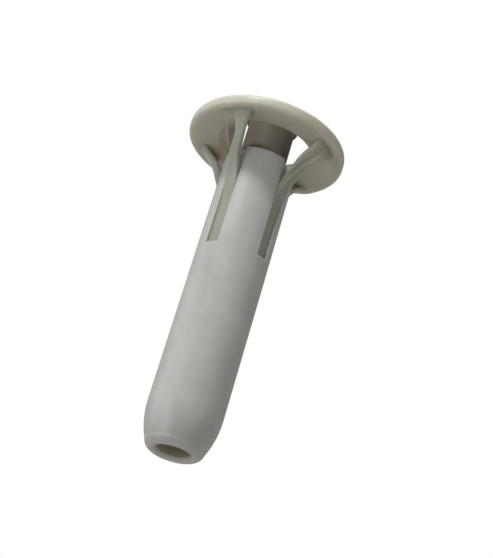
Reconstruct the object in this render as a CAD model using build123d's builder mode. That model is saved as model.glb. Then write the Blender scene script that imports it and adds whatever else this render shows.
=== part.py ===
from build123d import *
import math
import os

# Hammer-in wall anchor: a nylon shank, a ring-shaped head carried by four
# flexible legs, and a drive pin (a steel nail with a moulded plastic jacket).
#
# Frame: origin at the centre of the head's bearing face (the wall plane),
# +Z out of the wall, so the shank runs along -Z.  Millimetres.

# ---- shank ----
shank_r = 5.0            # 10 mm anchor, for a 10 mm drilled hole
shank_top_r = 4.96       # the grooved part has a little moulding draft
draft_start_z = -18.4
rim_z = -2.55            # top rim of the shank
tip_z = -46.4            # lowest ring of the domed nose end
rim_round = 0.42
nose_start_z = -40.3     # the ogive begins here
nose_end_r = 3.95        # ogive radius where the tip rounding begins
nose_end_z = -45.35
tip_face_r = 3.0         # radius of the lowest ring
mouth_z = -46.1          # edge of the nose hole
nose_bore_r = 2.2        # lower bore and nose hole
nose_mouth_chamfer = 0.2
upper_bore_r = 3.4       # guides the pin's jacket
upper_bore_end_z = -27.0
cone_end_z = -29.0

# ---- grooves and legs ----
groove_w = 1.95
groove_floor = 4.0       # distance of the groove's flat floor from the axis
groove_end_z = -18.0
leg_angles = (45, 135, 225, 315)
# each station: inner radius, inner z, outer radius, outer z, sideways lean in
# degrees about the axis, width
leg_stations = (
    (4.00, -18.0, 4.60, -18.0, 0.0, 1.85),
    (4.00, -14.5, 4.60, -14.5, 0.0, 1.85),
    (4.00, -11.0, 4.66, -11.0, 0.0, 1.85),
    (4.10, -8.95, 4.93, -9.10, 0.0, 1.85),
    (4.50, -6.85, 5.36, -7.15, 0.5, 1.85),
    (5.10, -5.20, 5.98, -5.65, 2.0, 1.85),
    (5.84, -3.80, 6.74, -4.35, 4.2, 1.85),
    (6.66, -2.55, 7.50, -3.15, 6.4, 1.90),
    (7.50, -1.40, 8.30, -2.15, 8.4, 2.00),
    (8.20, -0.50, 9.15, -1.15, 9.8, 2.20),
    (8.70, 0.15, 10.15, 0.15, 11.0, 2.50),
)

# ---- head ring ----
head_r = 11.1
head_hole_r = 6.8        # opening at the underside
head_hole_top_r = 5.6    # opening at the top: the wall is a cone
head_edge_h = 1.45       # thickness at the outer edge
head_crown_h = 1.95      # thickness beside the opening
land_r = 10.35           # the bearing land lies outside this radius
recess_h = 0.15
head_edge_round = 0.3

# ---- drive pin ----
jacket_r = 3.3
jacket_top_z = 5.0
jacket_cone_z = -21.4
jacket_end_z = -23.4
jacket_end_r = 2.5
jacket_top_round = 0.5
pin_head_r = 3.7         # the pin's own small head
pin_head_z = 4.1
drive_dimple_r = 1.3
core_r = 1.9
core_top_z = 3.4
core_shoulder_z = -41.3
core_tip_z = -42.7
core_tip_r = 0.9

os.makedirs("parts", exist_ok=True)


# ---------------------------------------------------------------- shank
with BuildPart() as shank:
    with BuildSketch(Plane.XZ):
        with BuildLine():
            Line((upper_bore_r, rim_z), (shank_top_r, rim_z))
            Line((shank_top_r, rim_z), (shank_r, draft_start_z))
            Line((shank_r, draft_start_z), (shank_r, nose_start_z))
            drop = nose_start_z - nose_end_z
            lean = shank_r - nose_end_r
            arc_r = (drop ** 2 + lean ** 2) / (2 * lean)
            half = drop * 0.55
            mid_r = shank_r - arc_r + math.sqrt(arc_r ** 2 - half ** 2)
            ThreePointArc(
                (shank_r, nose_start_z),
                (mid_r, nose_start_z - half),
                (nose_end_r, nose_end_z),
            )
            ThreePointArc(
                (nose_end_r, nose_end_z),
                (nose_end_r - 0.33, nose_end_z - 0.68),
                (tip_face_r, tip_z),
            )
            # the end is domed: it turns back up into the hole's mouth
            mouth_r = nose_bore_r + nose_mouth_chamfer
            ThreePointArc(
                (tip_face_r, tip_z),
                ((tip_face_r + mouth_r) / 2, tip_z + 0.07),
                (mouth_r, mouth_z),
            )
            Line((mouth_r, mouth_z), (nose_bore_r, mouth_z + nose_mouth_chamfer))
            Line((nose_bore_r, mouth_z + nose_mouth_chamfer), (nose_bore_r, cone_end_z))
            Line((nose_bore_r, cone_end_z), (upper_bore_r, upper_bore_end_z))
            Line((upper_bore_r, upper_bore_end_z), (upper_bore_r, rim_z))
        make_face()
    revolve(axis=Axis.Z)
    rim_edges = shank.edges().filter_by(GeomType.CIRCLE).group_by(Axis.Z)[-1]
    fillet(rim_edges.sort_by(lambda e: e.radius)[-1], rim_round)
    # four straight grooves with flat floors, open at the rim
    for angle in leg_angles:
        with BuildSketch(Plane.XY.offset(rim_z + 1)):
            with Locations(Rotation(0, 0, angle)):
                with Locations(((groove_floor + shank_r + 1) / 2, 0)):
                    Rectangle(shank_r + 1 - groove_floor, groove_w)
        extrude(amount=groove_end_z - rim_z - 1, mode=Mode.SUBTRACT)

shank.part.label = "shank"
export_step(shank.part, "parts/shank.step")


# ---------------------------------------------------------------- legs
for number, angle in enumerate(leg_angles, start=1):
    with BuildPart() as spring_leg:
        for r_in, z_in, r_out, z_out, shift, width in leg_stations:
            a = math.radians(angle + shift)
            radial = Vector(math.cos(a), math.sin(a), 0)
            inner = radial * r_in + Vector(0, 0, z_in)
            outer = radial * r_out + Vector(0, 0, z_out)
            across = (outer - inner).normalized()
            side = Vector(-math.sin(a), math.cos(a), 0)
            station = Plane(
                origin=(inner + outer) * 0.5, x_dir=across, z_dir=across.cross(side)
            )
            with BuildSketch(station):
                Rectangle((outer - inner).length, width)
        loft()
    spring_leg.part.label = f"spring_leg_{number}"
    export_step(spring_leg.part, f"parts/spring_leg_{number}.step")


# ---------------------------------------------------------------- head
with BuildPart() as head_ring:
    with BuildSketch(Plane.XZ):
        with BuildLine():
            Line((head_hole_r, recess_h), (land_r, recess_h))
            Line((land_r, recess_h), (land_r, 0))
            Line((land_r, 0), (head_r, 0))
            Line((head_r, 0), (head_r, head_edge_h))
            ThreePointArc(
                (head_r, head_edge_h),
                ((head_r + head_hole_top_r) / 2, (head_edge_h + head_crown_h) / 2 + 0.14),
                (head_hole_top_r, head_crown_h),
            )
            Line((head_hole_top_r, head_crown_h), (head_hole_r, recess_h))
        make_face()
    revolve(axis=Axis.Z)
    outer_edges = head_ring.edges().filter_by(GeomType.CIRCLE).sort_by(lambda e: e.radius)[-2:]
    fillet(outer_edges, head_edge_round)
    mouth = head_ring.edges().filter_by(GeomType.CIRCLE).sort_by(lambda e: e.radius)[0]
    fillet(mouth, 0.25)

head_ring.part.label = "head_ring"
export_step(head_ring.part, "parts/head_ring.step")


# ---------------------------------------------------------------- pin
with BuildPart() as pin_jacket:
    with BuildSketch(Plane.XZ):
        with BuildLine():
            # shallow cone in the top keeps the hammer or punch centred
            Line((0, jacket_top_z - 0.4), (drive_dimple_r, jacket_top_z))
            Line((drive_dimple_r, jacket_top_z), (pin_head_r, jacket_top_z))
            Line((pin_head_r, jacket_top_z), (pin_head_r, pin_head_z))
            Line((pin_head_r, pin_head_z), (jacket_r, pin_head_z - 0.3))
            Line((jacket_r, pin_head_z - 0.3), (jacket_r, jacket_cone_z))
            Line((jacket_r, jacket_cone_z), (jacket_end_r, jacket_end_z))
            Line((jacket_end_r, jacket_end_z), (core_r, jacket_end_z))
            Line((core_r, jacket_end_z), (core_r, core_top_z))
            Line((core_r, core_top_z), (0, core_top_z))
            Line((0, core_top_z), (0, jacket_top_z - 0.4))
        make_face()
    revolve(axis=Axis.Z)
    top_edge = pin_jacket.edges().filter_by(GeomType.CIRCLE).group_by(Axis.Z)[-1]
    fillet(top_edge.sort_by(lambda e: e.radius)[-1], jacket_top_round)

pin_jacket.part.label = "pin_jacket"
export_step(pin_jacket.part, "parts/pin_jacket.step")

with BuildPart() as pin_core:
    with BuildSketch(Plane.XZ):
        with BuildLine():
            Polyline(
                (0, core_top_z),
                (core_r, core_top_z),
                (core_r, core_shoulder_z),
                (core_tip_r, core_tip_z),
                (0, core_tip_z),
                (0, core_top_z),
            )
        make_face()
    revolve(axis=Axis.Z)

pin_core.part.label = "pin_core"
export_step(pin_core.part, "parts/pin_core.step")
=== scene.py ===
import bpy, bmesh, math
from mathutils import Vector, Matrix, noise


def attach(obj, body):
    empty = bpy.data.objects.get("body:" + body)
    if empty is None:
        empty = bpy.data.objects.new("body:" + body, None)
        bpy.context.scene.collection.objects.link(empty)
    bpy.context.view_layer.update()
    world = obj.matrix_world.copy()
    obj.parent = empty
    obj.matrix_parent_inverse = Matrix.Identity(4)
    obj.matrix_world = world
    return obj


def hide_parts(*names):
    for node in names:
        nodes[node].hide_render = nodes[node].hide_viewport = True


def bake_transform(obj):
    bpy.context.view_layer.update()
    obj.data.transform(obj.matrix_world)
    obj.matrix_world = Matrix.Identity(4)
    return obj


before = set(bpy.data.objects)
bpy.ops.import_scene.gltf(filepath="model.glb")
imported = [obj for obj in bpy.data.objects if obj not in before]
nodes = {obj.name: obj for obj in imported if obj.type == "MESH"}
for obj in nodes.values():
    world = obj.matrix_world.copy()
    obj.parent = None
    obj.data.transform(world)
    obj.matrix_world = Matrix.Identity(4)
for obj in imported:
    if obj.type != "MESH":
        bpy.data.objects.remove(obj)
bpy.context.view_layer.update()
mm = 0.001


# ------------------------------------------------------------------ helpers
def new_mat(name):
    m = bpy.data.materials.new(name)
    m.use_nodes = True
    nt = m.node_tree
    nt.nodes.clear()
    out = nt.nodes.new("ShaderNodeOutputMaterial")
    bsdf = nt.nodes.new("ShaderNodeBsdfPrincipled")
    nt.links.new(bsdf.outputs[0], out.inputs[0])
    return m, nt, bsdf


def tex_coord(nt):
    tc = nt.nodes.new("ShaderNodeTexCoord")
    return tc.outputs["Object"]


def noise_tex(nt, vec, scale, detail=3.0, rough=0.5, stretch=None):
    if stretch:
        mp = nt.nodes.new("ShaderNodeMapping")
        mp.inputs["Scale"].default_value = stretch
        nt.links.new(vec, mp.inputs["Vector"])
        vec = mp.outputs[0]
    n = nt.nodes.new("ShaderNodeTexNoise")
    n.inputs["Scale"].default_value = scale
    n.inputs["Detail"].default_value = detail
    n.inputs["Roughness"].default_value = rough
    nt.links.new(vec, n.inputs["Vector"])
    return n.outputs["Fac"]


def ramp(nt, fac, stops):
    r = nt.nodes.new("ShaderNodeValToRGB")
    els = r.color_ramp.elements
    while len(els) < len(stops):
        els.new(0.5)
    for e, (pos, col) in zip(els, stops):
        e.position = pos
        e.color = (*col, 1.0) if len(col) == 3 else col
    nt.links.new(fac, r.inputs[0])
    return r.outputs[0]


def maprange(nt, fac, lo, hi, a=0.0, b=1.0):
    m = nt.nodes.new("ShaderNodeMapRange")
    m.inputs["From Min"].default_value = a
    m.inputs["From Max"].default_value = b
    m.inputs["To Min"].default_value = lo
    m.inputs["To Max"].default_value = hi
    nt.links.new(fac, m.inputs["Value"])
    return m.outputs[0]


def mix_rgb(nt, fac, a, b, mode="MIX"):
    m = nt.nodes.new("ShaderNodeMix")
    m.data_type = "RGBA"
    m.blend_type = mode
    if isinstance(fac, float):
        m.inputs[0].default_value = fac
    else:
        nt.links.new(fac, m.inputs[0])
    for sock, val in ((m.inputs[6], a), (m.inputs[7], b)):
        if isinstance(val, tuple):
            sock.default_value = (*val, 1.0)
        else:
            nt.links.new(val, sock)
    return m.outputs[2]


def bump(nt, height, strength, dist, normal=None):
    b = nt.nodes.new("ShaderNodeBump")
    b.inputs["Strength"].default_value = strength
    b.inputs["Distance"].default_value = dist
    nt.links.new(height, b.inputs["Height"])
    if normal is not None:
        nt.links.new(normal, b.inputs["Normal"])
    return b.outputs[0]


def nylon(name, lo, hi, sss=0.35, rough=(0.34, 0.46)):
    """Milky moulded nylon: cloudy colour, faint flow streaks, satin surface."""
    m, nt, p = new_mat(name)
    v = tex_coord(nt)
    cloud = noise_tex(nt, v, 210.0, 3.0, 0.55)
    flow = noise_tex(nt, v, 420.0, 4.0, 0.6, stretch=(1.0, 1.0, 0.12))
    fine = noise_tex(nt, v, 2600.0, 2.0, 0.5)
    base = ramp(nt, cloud, [(0.30, lo), (0.72, hi)])
    streak = ramp(nt, flow, [(0.35, (0.93, 0.93, 0.915)), (0.65, (1.0, 1.0, 1.0))])
    col = mix_rgb(nt, 1.0, base, streak, "MULTIPLY")
    nt.links.new(col, p.inputs["Base Color"])
    nt.links.new(maprange(nt, flow, rough[0], rough[1], 0.3, 0.7), p.inputs["Roughness"])
    p.inputs["IOR"].default_value = 1.53
    p.inputs["Specular IOR Level"].default_value = 0.5
    p.inputs["Subsurface Weight"].default_value = sss
    p.inputs["Subsurface Radius"].default_value = (1.0, 0.92, 0.78)
    p.inputs["Subsurface Scale"].default_value = 0.0013
    n1 = bump(nt, flow, 0.16, 0.00006)
    n2 = bump(nt, fine, 0.10, 0.00002, n1)
    nt.links.new(n2, p.inputs["Normal"])
    return m


mat_shank = nylon("nylon_shank", (0.585, 0.588, 0.575), (0.665, 0.668, 0.655), rough=(0.30, 0.42))


def paint_bore_shade(m):
    """Painted shade inside the bores: darker and more olive within 2.2 mm of the axis, fading out by 2.6 mm."""
    nt = m.node_tree
    p = next(n for n in nt.nodes if n.type == "BSDF_PRINCIPLED")
    was = p.inputs["Base Color"].links[0].from_socket
    tc = nt.nodes.new("ShaderNodeTexCoord")
    flat = nt.nodes.new("ShaderNodeVectorMath")
    flat.operation = "MULTIPLY"
    flat.inputs[1].default_value = (1.0, 1.0, 0.0)
    nt.links.new(tc.outputs["Object"], flat.inputs[0])
    length = nt.nodes.new("ShaderNodeVectorMath")
    length.operation = "LENGTH"
    nt.links.new(flat.outputs[0], length.inputs[0])
    out = maprange(nt, length.outputs["Value"], 0.0, 1.0, 0.0022, 0.0026)
    # painted shade: the olive tint darkens the bore walls where shade falls inside them
    bore_shade_tint = mix_rgb(nt, out, (0.78, 0.71, 0.57), (1.0, 1.0, 1.0))
    nt.links.new(mix_rgb(nt, 1.0, was, bore_shade_tint, "MULTIPLY"), p.inputs["Base Color"])


paint_bore_shade(mat_shank)


def head_mat():
    """Head: warmer nylon with soft brownish clouds."""
    m, nt, p = new_mat("nylon_head")
    v = tex_coord(nt)
    cloud = noise_tex(nt, v, 190.0, 3.0, 0.55)
    brown = noise_tex(nt, v, 120.0, 2.0, 0.5)
    flow = noise_tex(nt, v, 520.0, 4.0, 0.6)
    fine = noise_tex(nt, v, 2600.0, 2.0, 0.5)
    base = ramp(nt, cloud, [(0.30, (0.585, 0.575, 0.505)), (0.72, (0.655, 0.645, 0.575))])
    darkening = ramp(nt, brown, [(0.42, (1.0, 1.0, 1.0)), (0.68, (0.97, 0.915, 0.88))])
    col = mix_rgb(nt, 1.0, base, darkening, "MULTIPLY")
    nt.links.new(col, p.inputs["Base Color"])
    nt.links.new(maprange(nt, flow, 0.34, 0.47, 0.3, 0.7), p.inputs["Roughness"])
    p.inputs["IOR"].default_value = 1.53
    p.inputs["Subsurface Weight"].default_value = 0.85
    p.inputs["Subsurface Radius"].default_value = (1.0, 0.93, 0.80)
    p.inputs["Subsurface Scale"].default_value = 0.0024
    n1 = bump(nt, flow, 0.14, 0.00006)
    nt.links.new(bump(nt, fine, 0.10, 0.00002, n1), p.inputs["Normal"])
    return m


def leg_mat():
    """Legs: darker olive low down as painted shade in the grooves, head colour higher up, darker and warmer again
    near the roots as painted shade under the head, and a near-black painted shade on the webs.
    """
    m, nt, p = new_mat("nylon_legs")
    v = tex_coord(nt)
    cloud = noise_tex(nt, v, 260.0, 3.0, 0.55)
    flow = noise_tex(nt, v, 520.0, 4.0, 0.6, stretch=(1.0, 1.0, 0.16))
    fine = noise_tex(nt, v, 2600.0, 2.0, 0.5)
    # painted shade: darker olive for the leg low down, where it lies in its groove
    groove_shade = ramp(nt, cloud, [(0.30, (0.40, 0.40, 0.33)), (0.72, (0.47, 0.47, 0.40))])
    top = ramp(nt, cloud, [(0.30, (0.585, 0.575, 0.505)), (0.72, (0.655, 0.645, 0.575))])
    sep = nt.nodes.new("ShaderNodeSeparateXYZ")
    nt.links.new(v, sep.inputs[0])
    up = maprange(nt, sep.outputs[2], 0.0, 1.0, -0.0048, -0.0010)
    col = mix_rgb(nt, up, groove_shade, top)
    # painted shade: darker, warmer colour near the root, under the head
    root_shade = ramp(nt, cloud, [(0.30, (0.43, 0.415, 0.345)), (0.72, (0.485, 0.47, 0.395))])
    col = mix_rgb(nt, maprange(nt, sep.outputs[2], 0.0, 1.0, -0.0019, -0.0004), col, root_shade)
    web_shade = nt.nodes.new("ShaderNodeAttribute")
    web_shade.attribute_name = "web_shade"
    # painted shade: the web weight darkens the leg to a near-black brown
    col = mix_rgb(nt, web_shade.outputs["Fac"], col, (0.16, 0.145, 0.12))
    nt.links.new(col, p.inputs["Base Color"])
    nt.links.new(maprange(nt, flow, 0.34, 0.47, 0.3, 0.7), p.inputs["Roughness"])
    p.inputs["IOR"].default_value = 1.53
    p.inputs["Subsurface Weight"].default_value = 0.85
    p.inputs["Subsurface Radius"].default_value = (1.0, 0.93, 0.80)
    p.inputs["Subsurface Scale"].default_value = 0.0020
    n1 = bump(nt, flow, 0.16, 0.00005)
    nt.links.new(bump(nt, fine, 0.10, 0.00002, n1), p.inputs["Normal"])
    return m


mat_head = head_mat()
mat_legs = leg_mat()


def jacket_mat():
    m, nt, p = new_mat("pin_plastic")
    v = tex_coord(nt)
    cloud = noise_tex(nt, v, 240.0, 3.0, 0.6)
    lines = noise_tex(nt, v, 700.0, 3.0, 0.6, stretch=(1.0, 1.0, 0.08))
    fine = noise_tex(nt, v, 2400.0, 2.0, 0.5)
    # painted shade: the very dark brown base stands in for the shade the pin sits in under the head
    col = ramp(nt, cloud, [(0.3, (0.125, 0.110, 0.086)), (0.7, (0.172, 0.150, 0.118))])
    nt.links.new(col, p.inputs["Base Color"])
    nt.links.new(maprange(nt, lines, 0.56, 0.70, 0.3, 0.7), p.inputs["Roughness"])
    p.inputs["IOR"].default_value = 1.48
    p.inputs["Specular IOR Level"].default_value = 0.3
    p.inputs["Subsurface Weight"].default_value = 0.1
    p.inputs["Subsurface Radius"].default_value = (1.0, 0.8, 0.6)
    p.inputs["Subsurface Scale"].default_value = 0.0008
    n1 = bump(nt, lines, 0.2, 0.00005)
    nt.links.new(bump(nt, fine, 0.1, 0.00002, n1), p.inputs["Normal"])
    return m


def steel_mat():
    m, nt, p = new_mat("pin_steel")
    v = tex_coord(nt)
    draw = noise_tex(nt, v, 900.0, 3.0, 0.6, stretch=(1.0, 1.0, 0.05))
    spots = noise_tex(nt, v, 500.0, 4.0, 0.6)
    col = ramp(nt, spots, [(0.3, (0.42, 0.42, 0.41)), (0.7, (0.56, 0.56, 0.56))])
    nt.links.new(col, p.inputs["Base Color"])
    p.inputs["Metallic"].default_value = 1.0
    nt.links.new(maprange(nt, draw, 0.25, 0.45, 0.3, 0.7), p.inputs["Roughness"])
    nt.links.new(bump(nt, draw, 0.25, 0.00003), p.inputs["Normal"])
    return m


mat_jacket = jacket_mat()
mat_steel = steel_mat()


def assign(obj, m):
    if not obj.material_slots:
        obj.data.materials.append(m)
    for s in obj.material_slots:
        s.material = m


assign(nodes["shank"], mat_shank)
assign(nodes["head_ring"], mat_head)
assign(nodes["pin_jacket"], mat_jacket)
assign(nodes["pin_core"], mat_steel)


def link_mesh(name, bm, mat, flat_over=None):
    bmesh.ops.recalc_face_normals(bm, faces=bm.faces)
    me = bpy.data.meshes.new(name)
    bm.to_mesh(me)
    bm.free()
    for f in me.polygons:
        f.use_smooth = flat_over is None or len(f.vertices) <= flat_over
    ob = bpy.data.objects.new(name, me)
    bpy.context.scene.collection.objects.link(ob)
    assign(ob, mat)
    return ob


# ------------------------------------------------------------------ head
def rounded_loop(corners, steps=7, longest=0.30):
    """A closed outline with rounded corners: (r, z, radius) in millimetres."""
    n = len(corners)
    out = []
    for i in range(n):
        p = Vector(corners[i][:2])
        a = Vector(corners[i - 1][:2]) - p
        b = Vector(corners[(i + 1) % n][:2]) - p
        rad = corners[i][2]
        ang = a.angle(b)
        cut = min(rad / math.tan(ang / 2), a.length * 0.48, b.length * 0.48)
        s, e = p + a.normalized() * cut, p + b.normalized() * cut
        # an arc of the right radius, tangent to both sides
        r = cut * math.tan(ang / 2)
        c = p + (a.normalized() + b.normalized()).normalized() * (r / math.sin(ang / 2))
        s0, e0 = s - c, e - c
        turn = s0.angle_signed(e0)
        for k in range(steps + 1):
            t = -turn * k / steps
            out.append(c + Vector((s0.x * math.cos(t) - s0.y * math.sin(t),
                                   s0.x * math.sin(t) + s0.y * math.cos(t))))
    full = []
    for p, q in zip(out, out[1:] + out[:1]):
        full.append(p)
        m = int((q - p).length / longest)
        for k in range(1, m + 1):
            full.append(p.lerp(q, k / (m + 1)))
    return full


HEAD_CORNERS = [
    (5.62, 1.97, 0.24),
    (6.76, 0.27, 0.34),
    (10.30, 0.00, 6.0),
    (11.08, 0.00, 0.34),
    (11.10, 1.50, 0.62),
    (8.60, 2.02, 9.0),
]


def turned_head(name):
    prof = rounded_loop(HEAD_CORNERS)
    seg = 240
    bm = bmesh.new()
    rows = []
    for k in range(seg):
        a = 2 * math.pi * k / seg
        ca, sa = math.cos(a), math.sin(a)
        row = []
        for p in prof:
            r, z = p.x, p.y
            pos = Vector((r * ca, r * sa, z))
            # a little unevenness from the mould and from handling
            n1 = noise.noise(pos * 0.35)
            n2 = noise.noise(pos * 1.1 + Vector((7.0, 3.0, 1.0)))
            lift = 0.022 * n1 + 0.010 * n2
            edge = max(0.0, (r - 9.4) / 1.7)
            # the rim is dented where the gate was trimmed off, near 60 degrees
            d = math.degrees(math.atan2(math.sin(a - math.radians(61)), math.cos(a - math.radians(61))))
            dent = 0.55 / (1 + math.exp((abs(d) - 12.5) / 2.2)) * min(1.0, edge) ** 1.5
            r2 = min(r * (1 + 0.0012 * n1), 11.1) - dent
            z2 = z + (lift if z > 0.6 else lift * 0.8)
            # shallow round ejector marks on the top face
            if z > 1.2 and 6.6 < r < 10.6:
                for q in range(4):
                    ea = math.radians(q * 90)
                    dx, dy = r * ca - 8.7 * math.cos(ea), r * sa - 8.7 * math.sin(ea)
                    dd = math.hypot(dx, dy)
                    z2 -= 0.055 * (1 / (1 + math.exp((dd - 0.75) / 0.05)))
            row.append(bm.verts.new((r2 * ca * mm, r2 * sa * mm, z2 * mm)))
        rows.append(row)
    n = len(prof)
    for k in range(seg):
        a_, b_ = rows[k], rows[(k + 1) % seg]
        for i in range(n):
            i2 = (i + 1) % n
            bm.faces.new((a_[i], b_[i], b_[i2], a_[i2]))
    return link_mesh(name, bm, mat_head)


head = turned_head("moulded_head")
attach(head, "head")
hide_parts("head_ring")


# ------------------------------------------------------------------ legs
# inner radius, inner z, outer radius, outer z, lean about the axis in degrees,
# width of the rib, width of the thin web on the rib's inner side; millimetres
STATIONS = [
    (4.00, -18.0, 4.60, -18.0, 0.0, 1.94, 0.05),
    (4.00, -14.5, 4.60, -14.5, 0.0, 1.94, 0.05),
    (4.00, -11.0, 4.68, -11.0, 0.0, 1.94, 0.05),
    (4.12, -8.95, 5.00, -9.10, 0.0, 1.90, 0.05),
    (4.62, -6.85, 5.52, -7.15, 0.3, 1.76, 0.06),
    (5.28, -5.20, 6.16, -5.65, 1.6, 1.56, 0.16),
    (5.96, -3.80, 6.80, -4.35, 4.2, 1.38, 0.55),
    (6.56, -2.55, 7.36, -3.15, 7.2, 1.26, 1.05),
    (7.32, -1.42, 8.06, -2.15, 10.2, 1.28, 1.50),
    (8.10, -0.52, 8.95, -1.10, 12.6, 1.45, 1.60),
    (8.70, 0.14, 9.55, 0.00, 13.8, 1.65, 1.50),
    (8.80, 0.70, 9.55, 0.66, 14.0, 1.70, 1.40),
]


def catmull(pts, steps):
    """Smooth rows of numbers through every given row."""
    out = []
    n = len(pts)
    for i in range(n - 1):
        p0, p1, p2, p3 = pts[max(i - 1, 0)], pts[i], pts[i + 1], pts[min(i + 2, n - 1)]
        for s in range(steps):
            t = s / steps
            row = []
            for a, b, c, d in zip(p0, p1, p2, p3):
                row.append(
                    0.5 * (2 * b + (c - a) * t + (2 * a - 5 * b + 4 * c - d) * t * t
                           + (3 * b - a - 3 * c + d) * t ** 3)
                )
            out.append(row)
    out.append(list(pts[-1]))
    return out


def section(t, w, x, tw, rad):
    """Rib with a web beside it: points (u outwards, v sideways, painted-shade weight of the web)."""
    c = [
        (-t / 2, w / 2, 0.0),
        (t / 2, w / 2, 0.0),
        (t / 2, -w / 2, 0.0),
        (-t / 2 + tw, -w / 2, 1.0),
        (-t / 2 + tw, -w / 2 - x, 1.0),
        (-t / 2, -w / 2 - x, 1.0),
    ]
    n = len(c)
    pts = []
    for i in range(n):
        p = Vector(c[i][:2])
        a = Vector(c[i - 1][:2]) - p
        b = Vector(c[(i + 1) % n][:2]) - p
        ca_, cb_ = min(rad, a.length * 0.42), min(rad, b.length * 0.42)
        s, e = p + a.normalized() * ca_, p + b.normalized() * cb_
        for k in range(6):
            f = k / 5
            q = s * (1 - f) ** 2 + p * (2 * f * (1 - f)) + e * f * f
            pts.append((q.x, q.y, c[i][2]))
        nxt = c[(i + 1) % n]
        e2 = Vector(nxt[:2]) - b.normalized() * min(rad, b.length * 0.42)
        for k in (1, 2):
            q = e.lerp(e2, k / 3)
            pts.append((q.x, q.y, c[i][2] + (nxt[2] - c[i][2]) * k / 3))
    return pts


def leg(name, angle, darkening):
    bm = bmesh.new()
    web_shade_layer = bm.verts.layers.float.new("web_shade")
    rows = catmull(STATIONS, 8)
    rings = []
    for r0, z0, r1, z1, lean, w, x in rows:
        a = math.radians(angle + lean)
        rad = Vector((math.cos(a), math.sin(a), 0))
        side = Vector((-math.sin(a), math.cos(a), 0))
        inner = rad * r0 + Vector((0, 0, z0))
        outer = rad * r1 + Vector((0, 0, z1))
        mid = (inner + outer) / 2
        half = (outer - inner) / 2
        zc = (z0 + z1) / 2
        # the root spreads out into the head's underside
        g = min(1.0, max(0.0, (zc + 2.10) / 2.50))
        grow = 1.35 * (1 - math.sqrt(max(0.0, 1 - g * g)))
        soft = g * g * (3 - 2 * g)
        t = half.length * 2 + grow * 0.55
        hd = half.normalized()
        ring = []
        web_t = 0.50 + (t - 0.56) * soft
        for u, v, wt in section(t, w + 1.7 * grow, x + grow * 0.4, web_t, 0.24 + 0.75 * soft):
            vert = bm.verts.new((mid + hd * u + side * v) * mm)
            # painted shade weight on the web, fading out towards the root
            fade = min(1.0, max(0.0, (-0.55 - zc) / 1.3))
            vert[web_shade_layer] = darkening * wt * min(1.0, max(0.0, (x - 0.06) / 0.4)) * fade
            ring.append(vert)
        rings.append(ring)
    n = len(rings[0])
    for a_, b_ in zip(rings, rings[1:]):
        for k in range(n):
            k2 = (k + 1) % n
            bm.faces.new((a_[k], a_[k2], b_[k2], b_[k]))
    bm.faces.new(list(reversed(rings[0])))
    bm.faces.new(rings[-1])
    return link_mesh(name, bm, mat_legs, flat_over=4)


# painted shade on the webs: how dark each leg's web is painted, strongest on the third leg, where the gap beside
# it lies in shade
WEB_SHADE = (0.05, 0.0, 0.9, 0.04)
for i, ang in enumerate((45, 135, 225, 315), start=1):
    ob = leg(f"flexible_leg_{i}", ang, WEB_SHADE[i - 1])
    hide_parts(f"spring_leg_{i}")
    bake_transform(ob)


# ------------------------------------------------------------------ stage
def stage_plane(name, size, z, col):
    bm = bmesh.new()
    bmesh.ops.create_grid(bm, x_segments=8, y_segments=8, size=size)
    me = bpy.data.meshes.new(name)
    bm.to_mesh(me)
    bm.free()
    ob = bpy.data.objects.new(name, me)
    ob.location = (0, 0, z)
    bpy.context.scene.collection.objects.link(ob)
    m, nt, p = new_mat(name)
    v = tex_coord(nt)
    n = noise_tex(nt, v, 30.0, 3.0, 0.5)
    nt.links.new(ramp(nt, n, [(0.3, col), (0.7, tuple(min(1.0, c * 1.03) for c in col))]), p.inputs["Base Color"])
    p.inputs["Roughness"].default_value = 0.9
    # reads as pale paper without throwing more light on the anchor
    glow = nt.nodes.new("ShaderNodeEmission")
    glow.inputs[0].default_value = (1, 1, 0.99, 1)
    glow.inputs[1].default_value = 0.42
    seen = nt.nodes.new("ShaderNodeLightPath")
    both = nt.nodes.new("ShaderNodeAddShader")
    pick = nt.nodes.new("ShaderNodeMixShader")
    out = next(q for q in nt.nodes if q.type == "OUTPUT_MATERIAL")
    nt.links.new(p.outputs[0], both.inputs[0])
    nt.links.new(glow.outputs[0], both.inputs[1])
    nt.links.new(seen.outputs["Is Camera Ray"], pick.inputs[0])
    nt.links.new(p.outputs[0], pick.inputs[1])
    nt.links.new(both.outputs[0], pick.inputs[2])
    nt.links.new(pick.outputs[0], out.inputs[0])
    assign(ob, m)
    return ob


stage_plane("floor", 1.5, -0.19, (0.80, 0.80, 0.79))

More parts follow.
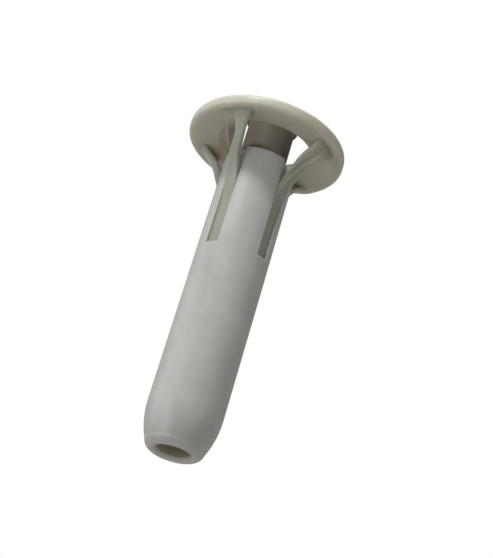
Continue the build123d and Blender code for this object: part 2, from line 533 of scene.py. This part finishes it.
# ------------------------------------------------------------------ camera
scene = bpy.context.scene
cam_data = bpy.data.cameras.new("camera")
cam = bpy.data.objects.new("camera", cam_data)
scene.collection.objects.link(cam)
rot = Matrix((
    (0.9469570389924504, -0.31555689849936297, -0.060796464634988244),
    (-0.19420543733173357, -0.4112029169006677, -0.890615747246349),
    (0.25604025936059505, 0.8551818548951124, -0.45067436208942924),
)).to_4x4()
cam.matrix_world = Matrix.Translation((-0.008669304, -0.165420177, -0.103597653)) @ rot
cam_data.sensor_fit = "HORIZONTAL"
cam_data.sensor_width = 36.0
cam_data.lens = 101.593
cam_data.clip_start = 0.005
cam_data.clip_end = 20.0
scene.camera = cam

# ------------------------------------------------------------------ light
world = bpy.data.worlds.new("studio")
scene.world = world
world.use_nodes = True
wn = world.node_tree
wn.nodes.clear()
wo = wn.nodes.new("ShaderNodeOutputWorld")
bg_light = wn.nodes.new("ShaderNodeBackground")
bg_light.inputs[0].default_value = (1.0, 0.99, 0.965, 1)
bg_light.inputs[1].default_value = 0.30
bg_cam = wn.nodes.new("ShaderNodeBackground")
bg_cam.inputs[0].default_value = (1, 1, 1, 1)
bg_cam.inputs[1].default_value = 1.0
lp = wn.nodes.new("ShaderNodeLightPath")
ms = wn.nodes.new("ShaderNodeMixShader")
wn.links.new(lp.outputs["Is Camera Ray"], ms.inputs[0])
wn.links.new(bg_light.outputs[0], ms.inputs[1])
wn.links.new(bg_cam.outputs[0], ms.inputs[2])
wn.links.new(ms.outputs[0], wo.inputs[0])

FRONT = -93.0   # azimuth that faces the camera


def area(name, az, el, dist, size, power, col=(1, 1, 1), target=(0, 0, -0.018)):
    d = bpy.data.lights.new(name, "AREA")
    d.shape = "DISK"
    d.size = size
    d.energy = power
    d.color = col
    o = bpy.data.objects.new(name, d)
    a, e = math.radians(FRONT + az), math.radians(el)
    direction = Vector((math.cos(e) * math.cos(a), math.cos(e) * math.sin(a), math.sin(e)))
    o.location = Vector(target) + direction * dist
    o.rotation_euler = direction.to_track_quat("Z", "Y").to_euler()
    scene.collection.objects.link(o)
    return o


area("key", -36, 51.5, 0.20, 0.034, 0.225, (1.0, 0.995, 0.985))
area("rim_left", -95, 10, 0.5, 0.25, 0.20)
area("fill", -50, -10, 0.5, 0.20, 0.34, (0.97, 0.985, 1.0))

scene.view_settings.view_transform = "Standard"
scene.view_settings.look = "None"
scene.view_settings.exposure = 0.0
scene.view_settings.gamma = 1.0
